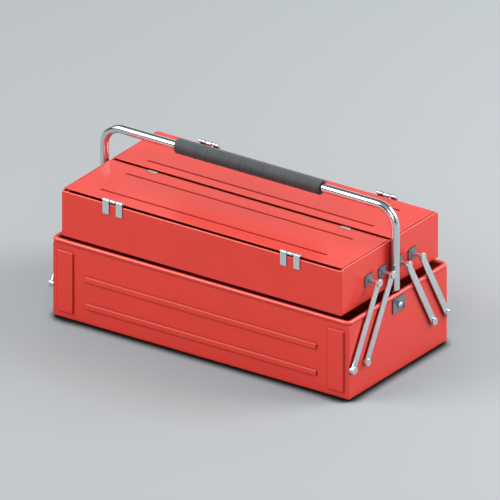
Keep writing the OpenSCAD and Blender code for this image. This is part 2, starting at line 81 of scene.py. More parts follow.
# Trays and lids
TRAY_X, TRAY_OUT, TRAY_ZS, TRAY_WALL_ZS = 203.2, 102.5, (109.2, 169.4), (120.0, 140.0, 158.0)
TRAY_CORNER = 1.8
FLANGE_W, HEM_IN, HEM_H, HEM_DROP = 8.0, 2.5, 8.0, 0.7
LIP_Z, LIP_W, SEAT_DROP = 170.7, 2.2, 1.7
# From here the ends' lip runs down to the hinge side, and over this height the seam's side drops
RUN_DOWN_Y, RUN_DOWN, DROP_Z, DROP_H = 96, 5, 158, 8
LID_X, LID_OUT, LID_ZS = 200.4, 97.2, (169.7, 170.9)
# Along the seam: the place of the tray, its lip as a share of the other lips, how much lower lip
# and flange lie there, and the lid's place
SEAMS = {"front": (-1.5, 1.25, 0.0, 2.5), "back": (3.4, 0.4, 3.5, 6.9)}
SKIRT_H, SKIRT_T = 1.6, 0.9
GROOVE_YS, GROOVE_ENDS = (22.4, 76.2), 165.0
TAB_X, TAB_L, TAB_YS, TAB_T, TAB_CORNER = 140.0, 13.8, (-0.2, 4.0), 0.8, 1.0

# Grid lines beside the pressings of walls and lids: their reach into and out of the form, and
# their pitch. They go on past the form, so that the wear and painted highlight on its edges and
# the painted shade in its hollows stay narrow.
PRESS_LINES, GROOVE_END_LINES, GROOVE_LINES = (2.2, 2.0, 0.3), (3.2, 3.2, 0.2), (4.2, 4.2, 0.2)

# Links, pins and studs
LINK_XS, LINK_W = (216.9, 219.0), 9.0
HEAD_XS, HEAD_D = (219.1, 221.2), 9.8
LOW_PIVOTS, LOW_Z = {"outer": 99.0, "inner": 70.2}, 41.5
UP_PIVOTS, UP_Z = {"outer": 45.7, "inner": 16.9}, 136.5
PIN_D, TAIL_D, TAIL_L = 4.0, 5.2, 1.0
STUD_D, STUD_TAIL_D, JOURNAL_D, STUD_SHOULDER = 4.2, 6.5, 3.4, 216.8
STUD_PLATE, STUD_PLATE_T = (16.0, 14.0), 1.2

# Lid hinges
HINGE_X, HINGE_Y, HINGE_Z = 128.8, 101.4, 172.6
KNUCKLE_D, KNUCKLE_L, KNUCKLE_PITCH = 4.3, 7.6, 9.6
HINGE_PIN_D = 2.1
STRAP_W, STRAP_YS, STRAP_FOOT = 9.0, (102.5, 103.5), 155.4
LEAF_T, LEAF_WEB_Y, LEAF_END_Y = 0.9, 99.7, 86.2

# Handle
LEG_X, BAR_Z, BEND_R, TUBE_R, TUBE_SIDES = 210.9, 214.8, 25.0, 5.5, 40
BOLT_Z = 90.7
FLARE_ZS, TANG_X, TANG_T, TANG_W = (104.7, 109.7), 209.45, 2.5, 13.0
GRIP_R, GRIP_X, GRIP_RINGS, GRIP_END = 9.7, 105.3, 13, 2.4
BACKING, BACKING_T = (24.6, 19.2), 1.5
BOLT_D, BOLT_HEAD_D, BOLT_HEAD_T, BOLT_RIM = 5.0, 7.4, 4.0, 1.2
NUT_XS, NUT_AF, BOLT_END, THREAD = (204.6, 208.1), 8.0, 203.6, 0.8

# Feet
FOOT_R, FOOT_IN = 8.0, 20

# Stage, in metres: the middle of the frame, the camera's distance, half the floor's width, what
# the lamps look at, and the place and width of each square softbox
FRAME_CENTRE, CAMERA_BACK, FLOOR_HALF = (0.0, 0.0, 0.1046), 1.2, 6.0
LAMP_AIM = (0, 0, 0.1)
SOFTBOXES = {"key": ((1.55, 1.15, 1.5), 1.3), "front": ((-1.3, -1.45, 1.6), 1.5),
             "side": ((1.2, -2.0, 1.0), 1.2)}
# The room's light changes from its low to its high level between these heights of the direction
SKY_LOW, SKY_HIGH = 0.3, 0.6
# How bright the paper's colour is beyond the floor's edge
PAPER_SEEN = 1.42

ENDS = {"right": 1, "left": -1}
SIDES = {"front": -1, "back": 1}
CORNERS = {side + "_" + end: (x, y) for side, y in SIDES.items() for end, x in ENDS.items()}


def srgb(code):
    """A hex colour as linear red, green and blue."""
    channels = [int(code[i:i + 2], 16) / 255 for i in (1, 3, 5)]
    return tuple(c / 12.92 if c <= 0.04045 else ((c + 0.055) / 1.055) ** 2.4 for c in channels)


# Sizes and colours that a user would change


def number(name, description, value, **kind):
    """A number, with its unit or subtype where one fits."""
    return bpy.props.FloatProperty(name=name, description=description, default=value, **kind)


def length(name, description, millimetres):
    """A length, given in millimetres and kept in metres."""
    return number(name, description, millimetres * MM, unit="LENGTH")


def colour(name, description, code):
    """A colour, given as its hex code and kept as linear values."""
    return bpy.props.FloatVectorProperty(name=name, description=description, subtype="COLOR",
                                         min=0, max=1, default=srgb(code))


class SheetSizes(bpy.types.PropertyGroup):
    """Bends and pressings of the painted sheet."""
    thickness: length("Sheet thickness", "Thickness of the walls and floors", 1.0)
    base_bend: length("Base bend",
                      "Outside radius of the bend from the base's floor to its walls", 1.8)
    tray_bend: length("Tray bend",
                      "Outside radius of the bends of the trays' floor and flange", 2.0)
    press_depth: length("Pressing depth", "How far ribs and panels stand out of the walls", 2.2)
    press_slope: length("Pressing slope", "Width of the slope round each rib and panel", 1.2)
    lid_edge: length("Lid edge", "Radius of the lids' rolled-over upper edge", 0.4)
    groove_width: length("Groove width", "Width of the grooves pressed into the lids", 3.6)
    groove_depth: length("Groove depth", "Depth of the grooves pressed into the lids", 2.0)


class FittingSizes(bpy.types.PropertyGroup):
    """Edges of the plated and rubber fittings."""
    link_edge: length("Link edge", "Radius of the tumbled edges of the links", 0.35)
    head_edge: length("Head edge", "Radius round the disc heads", 0.7)
    plate_edge: length("Plate edge", "Radius of the edges of small plates and straps", 0.2)
    plate_corner: length("Plate corner", "Corner radius of the backing plates", 1.0)
    ring_groove: length("Grip groove", "Depth of the grooves between the grip's rings", 0.6)
    foot_round: length("Foot rounding", "Radius round the lower edge of the feet", 0.8)


class FinishColours(bpy.types.PropertyGroup):
    """Colours of the paint, plating and rubber."""
    red: colour("Red paint", "Colour of the powder coat", "#D93020")
    zinc: colour("Zinc", "Colour of the plated links, pins and hinges", "#DDE4E9")
    chrome: colour("Chrome", "Colour of the plated tube", "#DADDE0")
    plate: colour("Dark plates", "Colour of the painted backing plates", "#28323C")
    foam: colour("Foam", "Colour of the grip", "#4B4F52")
    rubber: colour("Rubber", "Colour of the feet", "#1E1F20")
    floor: colour("Floor", "Colour of the studio floor", "#A9AEB1")


class StageSettings(bpy.types.PropertyGroup):
    """Viewpoint and lamps."""
    azimuth: number("Azimuth", "Turn of the viewpoint round the box, from straight in front",
                    math.radians(34.55), subtype="ANGLE")
    elevation: number("Elevation", "Height of the viewpoint above the horizon",
                      math.radians(24.95), subtype="ANGLE")
    span: length("Span", "Width of the frame, the same near and far", 597.5)
    front_sky: number("Front sky", "Strength of the room's light high up in front", 0.95)
    back_sky: number("Back sky", "Strength of the room's light low down behind", 1.25)
    top_sky: number("Top sky", "Strength of the room's light high up behind", 1.0)
    front_seen: number("Front sky in reflections", "The front sky as glossy pieces mirror it", 0.5)
    top_seen: number("Top sky in reflections", "The top sky as glossy pieces mirror it", 0.12)
    key_power: number("Key lamp", "Power of the lamp high behind on the right", 41, unit="POWER")
    front_power: number("Front lamp", "Power of the high lamp in front on the left", 39,
                        unit="POWER")
    side_power: number("Side lamp", "Power of the weak lamp in front on the right", 16,
                       unit="POWER")


# Meshes


def arc(centre, radius, start, stop, steps):
    """Points on a circle from one angle to another, in degrees, both ends included."""
    angles = [math.radians(start + (stop - start) * i / steps) for i in range(steps + 1)]
    return [(centre[0] + radius * math.cos(a), centre[1] + radius * math.sin(a)) for a in angles]


def smooth_step(t):
    """Eases from 0 to 1 as t does, and stays there."""
    t = min(max(t, 0.0), 1.0)
    return t * t * (3 - 2 * t)


def fine_lines(edges, inner, outer, pitch):
    """Grid lines close together round each edge, given as its place and the way into the form."""
    count = round((inner + outer) / pitch) + 1
    return [place + into * (i * pitch - outer) for place, into in edges for i in range(count)]


def tidy_lines(lines, low, high, gap=0.12):
    """Sorted lines between two limits, with near doubles left out."""
    kept = []
    for value in sorted(v for v in lines if low < v < high):
        if not kept or value - kept[-1] > gap:
            kept.append(value)
    return kept


def rounded_ring(extents, radius, xs, ys, heights):
    """A closed ring of points round a rectangle with rounded corners.

    extents holds the lowest and highest X and Y, and heights the height of each side in the
    order right, back, left, front. A corner climbs from one side's height to the next one's.
    """
    x0, x1, y0, y1 = extents
    right, back, left, front = heights
    steps = 6
    sides = [[(x1, y, right) for y in ys], [(x, y1, back) for x in reversed(xs)],
             [(x0, y, left) for y in reversed(ys)], [(x, y0, front) for x in xs]]
    signs = [(1, 1), (-1, 1), (-1, -1), (1, -1)]
    ring = []
    for i, (side, (sx, sy)) in enumerate(zip(sides, signs)):
        centre = ((x1 if sx > 0 else x0) - sx * radius, (y1 if sy > 0 else y0) - sy * radius)
        climb = (heights[(i + 1) % 4] - heights[i]) / steps
        points = arc(centre, radius, 90 * i, 90 * i + 90, steps)
        ring += side + [(x, y, heights[i] + climb * k) for k, (x, y) in enumerate(points)]
    return ring


def loft(rings):
    """Joins rings of equal length by quads, and closes the first and last one with a face."""
    count, last = len(rings[0]), (len(rings) - 1) * len(rings[0])
    vertices = [point for ring in rings for point in ring]
    faces = [(low + j, low + (j + 1) % count, low + count + (j + 1) % count, low + count + j)
             for low in range(0, last, count) for j in range(count)]
    return vertices, faces + [tuple(reversed(range(count))), tuple(range(last, last + count))]


def lathe_x(profile, steps=40):
    """Turns a profile of (place along X, radius) round the X axis."""
    turns = [2 * math.pi * i / steps for i in range(steps)]
    return loft([[(x, r * math.cos(a), r * math.sin(a)) for a in turns] for x, r in profile])


def grown(outline, margin):
    """A closed outline moved out by a margin, or in where it is negative."""
    before, after = outline[-1:] + outline[:-1], outline[1:] + outline[:1]
    area = sum(a[0] * b[1] - b[0] * a[1] for a, b in zip(before, outline))
    turn = 1 if area > 0 else -1
    points = []
    for last, here, following in zip(*(map(Vector, line) for line in (before, outline, after))):
        ways = ((here - last).normalized(), (following - here).normalized())
        first, second = (Vector((way.y, -way.x)) * turn for way in ways)
        middle = (first + second).normalized()
        points.append(tuple(here + middle * (margin / max(middle.dot(first), 0.5))))
    return points


def plate_x(outline, x0, x1, edge, steps=3):
    """A plate across X whose outline is in Y and Z, with rounded edges."""
    rounds = arc((-edge, x0 + edge), edge, -90, 0, steps)
    rounds += arc((-edge, x1 - edge), edge, 0, 90, steps)
    return loft([[(x, y, z) for y, z in grown(outline, margin)] for margin, x in rounds])


def rounded_outline(centre, size, radius):
    """Outline of a flat rectangle with rounded corners."""
    cx, cy = centre
    hx, hy = size[0] / 2 - radius, size[1] / 2 - radius
    points = []
    for sx, sy, turn in ((1, 1, 0), (-1, 1, 90), (-1, -1, 180), (1, -1, 270)):
        points += arc((cx + sx * hx, cy + sy * hy), radius, turn, turn + 90, 5)
    return points


def moved(shape, offset):
    """A shape moved by an offset."""
    vertices, faces = shape
    return [tuple(a + b for a, b in zip(v, offset)) for v in vertices], faces


def joined(shapes):
    """Several loose shapes as one."""
    vertices, faces = [], []
    for more_vertices, more_faces in shapes:
        start = len(vertices)
        vertices += more_vertices
        faces += [tuple(start + i for i in face) for face in more_faces]
    return vertices, faces


def placed(shape, end, side):
    """A shape of the back right quarter at another end or side."""
    vertices, faces = shape
    return [(x * end, y * side, z) for x, y, z in vertices], faces


# Painted sheet pieces


def rounded_distance(x, z, centre, half, radius):
    """Distance from a point to a rounded rectangle, negative inside it."""
    qx = abs(x - centre[0]) - half[0] + radius
    qz = abs(z - centre[1]) - half[1] + radius
    return math.hypot(max(qx, 0), max(qz, 0)) + min(max(qx, qz), 0) - radius


def pressed_out(x, z, depth, slope):
    """How far the long walls stand out at a point, over their ribs and end panels."""
    forms = [(x, (0, rib), (RIB_ENDS, RIB_H / 2)) for rib in RIB_ZS]
    forms.append((abs(x), (sum(PANEL_XS) / 2, sum(PANEL_ZS) / 2),
                  ((PANEL_XS[1] - PANEL_XS[0]) / 2, (PANEL_ZS[1] - PANEL_ZS[0]) / 2)))
    nearest = min(rounded_distance(along, z, centre, half, PRESS_CORNER)
                  for along, centre, half in forms)
    return depth * smooth_step(0.5 - nearest / slope)


def base_box(sizes):
    """Floor, walls with their pressings, and the rolled rim, as one shell of sheet."""
    sheet, bend = sizes.thickness / MM, sizes.base_bend / MM
    depth, slope = sizes.press_depth / MM, sizes.press_slope / MM
    rim_join = RIM_Z - math.sqrt(RIM_R ** 2 - RIM_IN ** 2)
    wall_r, inner_r = RIM_CORNER + RIM_IN, BASE_CORNER - sheet

    x_edges = [(RIB_ENDS, -1), (PANEL_XS[0], 1), (PANEL_XS[1], -1)]
    xs = fine_lines(x_edges, *PRESS_LINES) + [0, 40, 80, 120, 160, 176, 196]
    xs = tidy_lines([s * x for x in xs for s in (-1, 1)], -WALL_X + 5, WALL_X - 5)
    ys = range(-90, 91, 30)
    z_edges = [(PANEL_ZS[0], 1), (PANEL_ZS[1], -1)]
    z_edges += [(rib + s * RIB_H / 2, -s) for rib in RIB_ZS for s in (-1, 1)]
    zs = fine_lines(z_edges, *PRESS_LINES) + [44.0, 76.0, 95.0]
    zs += [BLEND_Z + 0.24 * i for i in range(6)]
    zs = tidy_lines(zs, BASE_Z + bend, rim_join - 0.1)

    def opened(z, corner):
        share = smooth_step((z - BLEND_Z) / (rim_join - BLEND_Z))
        return corner + (wall_r - BASE_CORNER) * share

    # Each level holds its inset from the wall, its height and its corner radius: the bend, the
    # wall outside, the bead of the rim, the wall inside and the bend inside
    levels = [(-x, z, BASE_CORNER + x) for x, z in arc((-bend, BASE_Z + bend), bend, -90, 0, 6)]
    levels += [(0, z, opened(z, BASE_CORNER)) for z in zs]
    first = math.degrees(math.acos(RIM_IN / RIM_R))
    levels += [(RIM_IN - x, RIM_Z + z, max(RIM_CORNER + x, 0.2))
               for x, z in arc((0, 0), RIM_R, -first, RIM_WRAP, 22)]
    levels.append((sheet, RIM_Z - RIM_R - 0.2, wall_r - sheet))
    levels += [(sheet, z, opened(z, inner_r)) for z in reversed(zs)]
    levels += [(bend - x, BASE_Z + bend + z, max(inner_r - (bend - sheet - x), 0.1))
               for x, z in arc((0, 0), bend - sheet, 0, -90, 4)]
    rings = []
    for inset, z, radius in levels:
        extents = (inset - WALL_X, WALL_X - inset, inset - WALL_Y, WALL_Y - inset)
        ring = rounded_ring(extents, radius, xs, ys, (z,) * 4)
        if inset <= sheet and z < rim_join:
            ring = [(x, y + math.copysign(pressed_out(x, z, depth, slope), y), z)
                    if abs(x) < PRESS_X and abs(y) > PRESS_Y else (x, y, z) for x, y, z in ring]
        rings.append(ring)
    return loft(rings)


def tray_box(sizes, seam, lip_share, seam_drop):
    """Floor and walls with a lip and flange round the lid, and a folded hem along the hinges."""
    sheet, bend = sizes.thickness / MM, sizes.tray_bend / MM
    low, top = TRAY_ZS
    hem_r, hem_top, hem_foot, seat = HEM_IN / 2, top - HEM_DROP, top - HEM_H, top - SEAT_DROP
    lip, inner, edge = LIP_W / 2, bend - sheet, sheet / 2
    # Each level holds the inset and height of the ends and seam, then those of the hinge side:
    # bend, wall outside, lip and hem, flange and hem, wall inside, bend inside
    levels = [(-x, z, -x, z) for x, z in arc((-bend, low + bend), bend, -90, 0, 6)]
    levels += [(0, z, 0, z) for z in TRAY_WALL_ZS]
    lip_round = arc((lip, LIP_Z - lip), lip, 180, 0, 8)
    hem_round = arc((hem_r, hem_top - hem_r), hem_r, 180, 0, 8)
    levels += [(*a, *b) for a, b in zip(lip_round, hem_round)]
    flange = [(LIP_W, seat + 0.2), (LIP_W + 0.2, seat)]
    flange += arc((FLANGE_W - edge, seat - edge), edge, 90, -90, 4)
    hem_down = [(HEM_IN, z) for z in (166.4, 165.6, 165.0, 164.0, 163.0, 162.0, 161.7)]
    levels += [(*a, *b) for a, b in zip(flange, hem_down)]
    levels.append((bend + 1, seat - sheet, HEM_IN - 0.3, hem_foot))
    levels.append((bend, seat - sheet, sheet + 0.3, hem_foot))
    levels += [(bend - x, seat - bend + z, sheet, hem_foot - 0.1 - 0.2 * i)
               for i, (x, z) in enumerate(arc((0, 0), inner, 90, 0, 4)[1:])]
    levels += [(sheet, z, sheet, z) for z in reversed(TRAY_WALL_ZS)]
    levels += [(bend - x, low + bend + z, bend - x, low + bend + z)
               for x, z in arc((0, 0), inner, 0, -90, 4)]

    def seam_inset(inset):
        return seam + (inset * lip_share if inset <= LIP_W else inset - LIP_W * (1 - lip_share))

    xs = range(-180, 181, 40)
    ys = [20.0, 40.0, 60.0, 80.0, 96.0, 97.5, 98.8]
    rings = []
    for side_in, side_z, hinge_in, hinge_z in levels:
        extents = (side_in - TRAY_X, TRAY_X - side_in, seam_inset(side_in), TRAY_OUT - hinge_in)
        radius = max(TRAY_CORNER - max(side_in, hinge_in), 0.4)
        seam_z = side_z - seam_drop * smooth_step((side_z - DROP_Z) / DROP_H)
        ring = rounded_ring(extents, radius, xs, ys, (side_z, hinge_z, side_z, seam_z))
        rings.append([(x, y, z + (hinge_z - z) * smooth_step((y - RUN_DOWN_Y) / RUN_DOWN))
                      for x, y, z in ring])
    return loft(rings)


def grid_sheet(xs, ys, top, under):
    """A sheet over a grid of lines, whose upper and lower heights are functions of the place."""
    wide, deep = len(xs), len(ys)
    vertices = [(x, y, height(x, y)) for height in (top, under) for y in ys for x in xs]
    below = wide * deep
    faces = []
    for a in (j * wide + i for j in range(deep - 1) for i in range(wide - 1)):
        quad = (a, a + 1, a + wide + 1, a + wide)
        faces += [quad, tuple(below + quad[k] for k in (0, 3, 2, 1))]
    rim = list(range(wide)) + [j * wide + wide - 1 for j in range(1, deep)]
    rim += [(deep - 1) * wide + i for i in reversed(range(wide - 1))]
    rim += [j * wide for j in reversed(range(1, deep - 1))]
    faces += [(b, a, below + a, below + b) for a, b in zip(rim, rim[1:] + rim[:1])]
    return vertices, faces


def lid_sheet(sizes, seam, seam_skirt):
    """A lid with two long grooves, a small radius round it and an edge turned down at the ends."""
    edge, width, depth = sizes.lid_edge / MM, sizes.groove_width / MM, sizes.groove_depth / MM
    thick = LID_ZS[1] - LID_ZS[0]

    def groove(x, y, margin):
        along = max(abs(x) - GROOVE_ENDS + width / 2, 0)
        reach = min(math.hypot(along, y - line) for line in GROOVE_YS)
        share = reach / (width / 2 + margin)
        return depth * (1 - smooth_step(3 * share - 1.95)) if share < 1 else 0

    def drop(x, y):
        gap = min(LID_X - abs(x), y - seam, LID_OUT - y, edge)
        return edge - math.sqrt(max(edge ** 2 - (edge - gap) ** 2, 0))

    def skirt(x, y):
        ends = LID_X - abs(x)
        return SKIRT_H if min(ends, y - seam if seam_skirt else ends) < SKIRT_T else 0

    steps = [edge * (1 - math.cos(math.radians(a))) for a in (0, 20, 40, 60, 75, 90)]
    skirt_at = [SKIRT_T + s for s in (-0.02, 0.02, 0.5, 1.2, 2.2)]
    xs = [LID_X - s for s in steps + skirt_at] + fine_lines([(GROOVE_ENDS, -1)], *GROOVE_END_LINES)
    xs += range(20, 181, 20)
    xs = tidy_lines([s * x for x in xs for s in (-1, 1)] + [0.0], -LID_X - 1, LID_X + 1, 0.01)
    ys = [seam + s for s in steps + skirt_at] + [LID_OUT - s for s in steps]
    ys += fine_lines([(y, 1) for y in GROOVE_YS], *GROOVE_LINES) + [12.0, 36.0, 49.0, 62.0, 87.0]
    ys = tidy_lines(ys, seam - 1, LID_OUT + 1, 0.01)
    return grid_sheet(xs, ys,
                      lambda x, y: LID_ZS[1] - drop(x, y) - groove(x, y, 0),
                      lambda x, y: LID_ZS[0] - groove(x, y, thick) - skirt(x, y))


def lift_tabs(sizes):
    """Two small plates on the free edge of the front lid, drawn for the back and mirrored."""
    outline = rounded_outline((0, 0), (TAB_L, TAB_YS[1] - TAB_YS[0]), TAB_CORNER)
    vertices, faces = plate_x(outline, LID_ZS[1], LID_ZS[1] + TAB_T, sizes.plate_edge / MM)
    flat = [(y, z + sum(TAB_YS) / 2, x) for x, y, z in vertices], faces
    return joined([moved(flat, (end * TAB_X, 0, 0)) for end in (1, -1)])


# Plated pieces


def link_bar(row, sizes):
    """A flat bar with round ends between two pivots."""
    low = Vector((LOW_PIVOTS[row], LOW_Z))
    high = Vector((UP_PIVOTS[row], UP_Z))
    lean = math.degrees(math.atan2(high.y - low.y, high.x - low.x))
    outline = arc(low, LINK_W / 2, lean + 90, lean + 270, 16)
    outline += arc(high, LINK_W / 2, lean - 90, lean + 90, 16)
    return plate_x(outline, *LINK_XS, sizes.link_edge / MM)


def headed_pin(inner, tail_r, shank, sizes):
    """A pin from its hammered-over tail inside the sheet, over its shank, to its disc head.

    The head is a little hollow in the middle from the riveting punch.
    """
    x0, x1 = HEAD_XS
    radius, edge, tip = HEAD_D / 2, sizes.head_edge / MM, inner - TAIL_L
    hollow = 0.55 * radius
    profile = [(tip, 0.05), (tip + 0.1, tail_r * 0.5), (tip + 0.35, tail_r * 0.85),
               (inner - 0.2, tail_r), (inner, tail_r)]
    profile += shank + [(x0, radius - edge / 2), (x0 + edge / 2, radius)]
    profile += arc((x1 - edge, radius - edge), edge, 90, 0, 6)
    profile += [(x1, hollow + 0.5), (x1 - 0.25, hollow - 0.2), (x1 - 0.25, 0.05)]
    return lathe_x(profile)


def base_pins(sizes):
    """Four pins of one end, through the base's wall, a spacer and a link each."""
    inner = WALL_X - 1
    pin = headed_pin(inner, TAIL_D / 2, [(inner, PIN_D / 2), (HEAD_XS[0], PIN_D / 2)], sizes)
    return joined([moved(pin, (0, side * y, LOW_Z)) for y in LOW_PIVOTS.values()
                   for side in (1, -1)])


def tray_studs(sizes):
    """Four studs of one tray: a rod out to its shoulder, and a journal that carries the link."""
    inner = TRAY_X - 1
    stud = headed_pin(inner, STUD_TAIL_D / 2, [
        (inner, STUD_D / 2), (STUD_SHOULDER - 0.3, STUD_D / 2), (STUD_SHOULDER, STUD_D / 2 - 0.3),
        (STUD_SHOULDER, JOURNAL_D / 2), (HEAD_XS[0], JOURNAL_D / 2)], sizes)
    row = joined([moved(stud, (0, y, UP_Z)) for y in UP_PIVOTS.values()])
    return joined([row, placed(row, -1, 1)])


def backing_plate(centre, size, corner, x0, thick, sizes):
    """A thin dark plate that lies on a wall."""
    return plate_x(rounded_outline(centre, size, corner), x0, x0 + thick, sizes.plate_edge / MM)


def stud_plates(sizes):
    """The dark plates behind the studs of one tray."""
    row = joined([backing_plate((y, UP_Z), STUD_PLATE, sizes.plate_corner / MM / 2, TRAY_X,
                                STUD_PLATE_T, sizes) for y in UP_PIVOTS.values()])
    return joined([row, placed(row, -1, 1)])


def round_bolt():
    """Bolt with a domed head outside, a shank through the handle's end and threads at its tip."""
    tip, under = BOLT_END, WALL_X + BACKING_T
    radius, head, cut, chamfer = BOLT_D / 2, BOLT_HEAD_D / 2, 0.3, 0.4
    profile = [(tip, 0.05), (tip, radius - 0.6), (tip + chamfer, radius - 0.1)]
    for i in range(int((NUT_XS[0] - tip) / THREAD)):
        x = tip + chamfer + i * THREAD
        profile += [(x + THREAD / 2, radius - cut), (x + THREAD, radius)]
    profile += [(NUT_XS[1], radius), (under, radius), (under, head - cut), (under + chamfer, head)]
    dome = BOLT_HEAD_T - BOLT_RIM
    profile += [(under + BOLT_RIM + dome * math.sin(math.radians(a)),
                 max(head * math.cos(math.radians(a)), 0.05)) for a in range(0, 91, 10)]
    return moved(lathe_x(profile), (0, 0, BOLT_Z))


def hex_nut():
    """Nut inside the box, with its corners chamfered."""
    low, high = NUT_XS
    half, chamfer, sixth = NUT_AF / 2, 0.45, math.pi / 3
    corner = half / math.cos(sixth / 2)
    turns = [2 * math.pi * i / 48 for i in range(48)]
    reach = [half / math.cos((a + sixth / 2) % sixth - sixth / 2) for a in turns]
    levels = ((low, half - 0.1), (low + chamfer, corner), (high - chamfer, corner),
              (high, half - 0.1))
    return loft([[(x, min(r, limit) * math.cos(a), BOLT_Z + min(r, limit) * math.sin(a))
                  for a, r in zip(turns, reach)] for x, limit in levels])


def rolled_strap(sizes):
    """Two straps on the tray's outer face, each curled into a knuckle round the hinge pin."""
    inner_y, outer_y = STRAP_YS
    outline = [(outer_y, STRAP_FOOT), (outer_y, HINGE_Z - 2)]
    outline += arc((HINGE_Y, HINGE_Z), KNUCKLE_D / 2, 0, 322, 28)
    outline += arc((HINGE_Y, HINGE_Z), HINGE_PIN_D / 2, 322, 0, 20)
    outline += [(inner_y, HINGE_Z - 1.8), (inner_y, STRAP_FOOT)]
    strap = plate_x(outline, HINGE_X - STRAP_W / 2, HINGE_X + STRAP_W / 2,
                    sizes.plate_edge / MM / 2, 2)
    return joined([moved(strap, (i * KNUCKLE_PITCH, 0, 0)) for i in (-1, 1)])


def leaf_plate(sizes):
    """The leaf's two parts, which overlap: the curl, and the web with its flat tongue."""
    half, edge = KNUCKLE_L / 2, sizes.plate_edge / MM / 2
    web, back, under = LEAF_WEB_Y, LEAF_WEB_Y - LEAF_T, LID_ZS[0]
    curl = arc((HINGE_Y, HINGE_Z), KNUCKLE_D / 2, 160, -120, 26)
    curl += arc((HINGE_Y, HINGE_Z), HINGE_PIN_D / 2, -120, 150, 20)
    curl += [(back, HINGE_Z), (back, HINGE_Z + LEAF_T - 0.3), (back + 0.3, HINGE_Z + LEAF_T)]
    foot = [(LEAF_END_Y, under - LEAF_T), (web - 0.3, under - LEAF_T), (web, under - LEAF_T + 0.3),
            (web, HINGE_Z), (back, HINGE_Z), (back, under), (LEAF_END_Y, under)]
    return joined([plate_x(part, HINGE_X - half, HINGE_X + half, edge, 2)
                   for part in (curl, foot)])


def tube_section(share):
    """Section of the handle from a round tube, at 0, to its flattened end, at 1."""
    points = []
    for a in (2 * math.pi * i / TUBE_SIDES for i in range(TUBE_SIDES)):
        c, s = math.cos(a), math.sin(a)
        # These powers give the flattened end its nearly flat faces and full edges
        flat_point = Vector((math.copysign(abs(c) ** 0.28, c) * TANG_T / 2,
                             math.copysign(abs(s) ** 0.8, s) * TANG_W / 2))
        points.append(Vector((TUBE_R * c, TUBE_R * s)).lerp(flat_point, share))
    return points


def bent_handle():
    """A tube with two bends, pressed flat at both ends with a round foot at each bolt."""
    def leg_ring(z, share, narrow=1.0):
        x = LEG_X + (TANG_X - LEG_X) * share
        return [(x + p.x, p.y * narrow, z) for p in tube_section(share)]

    low, high = FLARE_ZS
    foot = [math.radians(a) for a in (86, 75, 60, 45, 30, 15)]
    rings = [leg_ring(BOLT_Z - TANG_W / 2 * math.sin(a), 1, math.cos(a)) for a in foot]
    rings += [leg_ring(z, 1) for z in (BOLT_Z, BOLT_Z + 6, low - 6)]
    rings += [leg_ring(low + (high - low) * i / 12, 1 - smooth_step(i / 12)) for i in range(13)]
    rings += [leg_ring(z, 0) for z in (high + 2, 140.0, 165.0)]
    centre_x, centre_z, bend_steps = LEG_X - BEND_R, BAR_Z - BEND_R, 14
    section = tube_section(0)
    for a in (math.pi / 2 * i / bend_steps for i in range(bend_steps + 1)):
        rings.append([(centre_x + math.cos(a) * (BEND_R + p.x), p.y,
                       centre_z + math.sin(a) * (BEND_R + p.x)) for p in section])
    return loft(rings + [[(-x, y, z) for x, y, z in ring] for ring in reversed(rings)])


def foam_grip(sizes):
    """Foam sleeve with shallow rings, soft round ends and a lip round each end's hollow."""
    depth, fall, end_r = sizes.ring_groove / MM, 0.8, GRIP_END
    left = [(-GRIP_X + 1.6, TUBE_R + 0.05), (-GRIP_X + 1.5, GRIP_R - end_r - 0.2),
            (-GRIP_X + 0.15, GRIP_R - end_r + 0.2)]
    left += arc((-GRIP_X + end_r, GRIP_R - end_r), end_r, 170, 90, 8)
    middle = []
    for i in range(1, GRIP_RINGS):
        x = -GRIP_X + i * 2 * GRIP_X / GRIP_RINGS
        middle += [(x + step, GRIP_R - depth * math.exp(-(step / fall) ** 2))
                   for step in (-2.2, -1.4, -0.9, -0.5, -0.25, 0, 0.25, 0.5, 0.9, 1.4, 2.2)]
    right = [(-x, r) for x, r in reversed(left)]
    return moved(lathe_x(left + middle + right, 56), (0, 0, BAR_Z))


def rubber_feet(sizes):
    """Four moulded feet with a stem and a bulb through the floor."""
    bevel, radius, top = sizes.foot_round / MM, FOOT_R, BASE_Z
    profile = [(0, 0.05), (0, radius - 2.6), (0.35, radius - 2.3), (0.35, radius - 1.8),
               (0, radius - 1.5)]
    profile += arc((bevel, radius - bevel), bevel, 180, 90, 6)
    profile += [(top - 0.3, radius), (top, radius - 0.3), (top, 2.5), (top + 1, 2.5),
                (top + 1, 3.4), (top + 1.4, 3.5), (top + 2.3, 2.7), (top + 2.5, 2.2),
                (top + 2.5, 0.05)]
    vertices, faces = lathe_x(profile, 36)
    foot = [(y, z, x) for x, y, z in vertices], faces
    return joined([moved(foot, (sx * (WALL_X - FOOT_IN), sy * (WALL_Y - FOOT_IN), 0))
                   for sx in (1, -1) for sy in (1, -1)])


# Materials


def add_node(tree, kind, inputs=(), output=0, **settings):
    """Adds a node with its settings and links, and gives one of its outputs.

    inputs holds values, or the sockets that feed them, in order or by name or number.
    """
    node = tree.nodes.new("ShaderNode" + kind)
    for name, value in settings.items():
        setattr(node, name, value)
    for name, value in inputs.items() if isinstance(inputs, dict) else enumerate(inputs):
        if isinstance(value, bpy.types.NodeSocket):
            tree.links.new(value, node.inputs[name])
        else:
            node.inputs[name].default_value = value
    return node.outputs[output] if node.outputs else node


def tinted(colour, factor=1.0):
    """A colour, made lighter or darker, with four channels for a socket."""
    return tuple(min(c * factor, 1) for c in colour) + (1,)


def blotches(tree, place, size_mm, detail, low=0.0, high=1.0, start=0.3, stop=0.7, rough=0.5):
    """Cloudy blotches about as wide as a real size, stretched between two values."""
    cloud = add_node(tree, "TexNoise", {"Vector": place, "Scale": 1 / (size_mm * MM),
                                        "Detail": detail, "Roughness": rough})
    return add_node(tree, "MapRange", (cloud, start, stop, low, high))


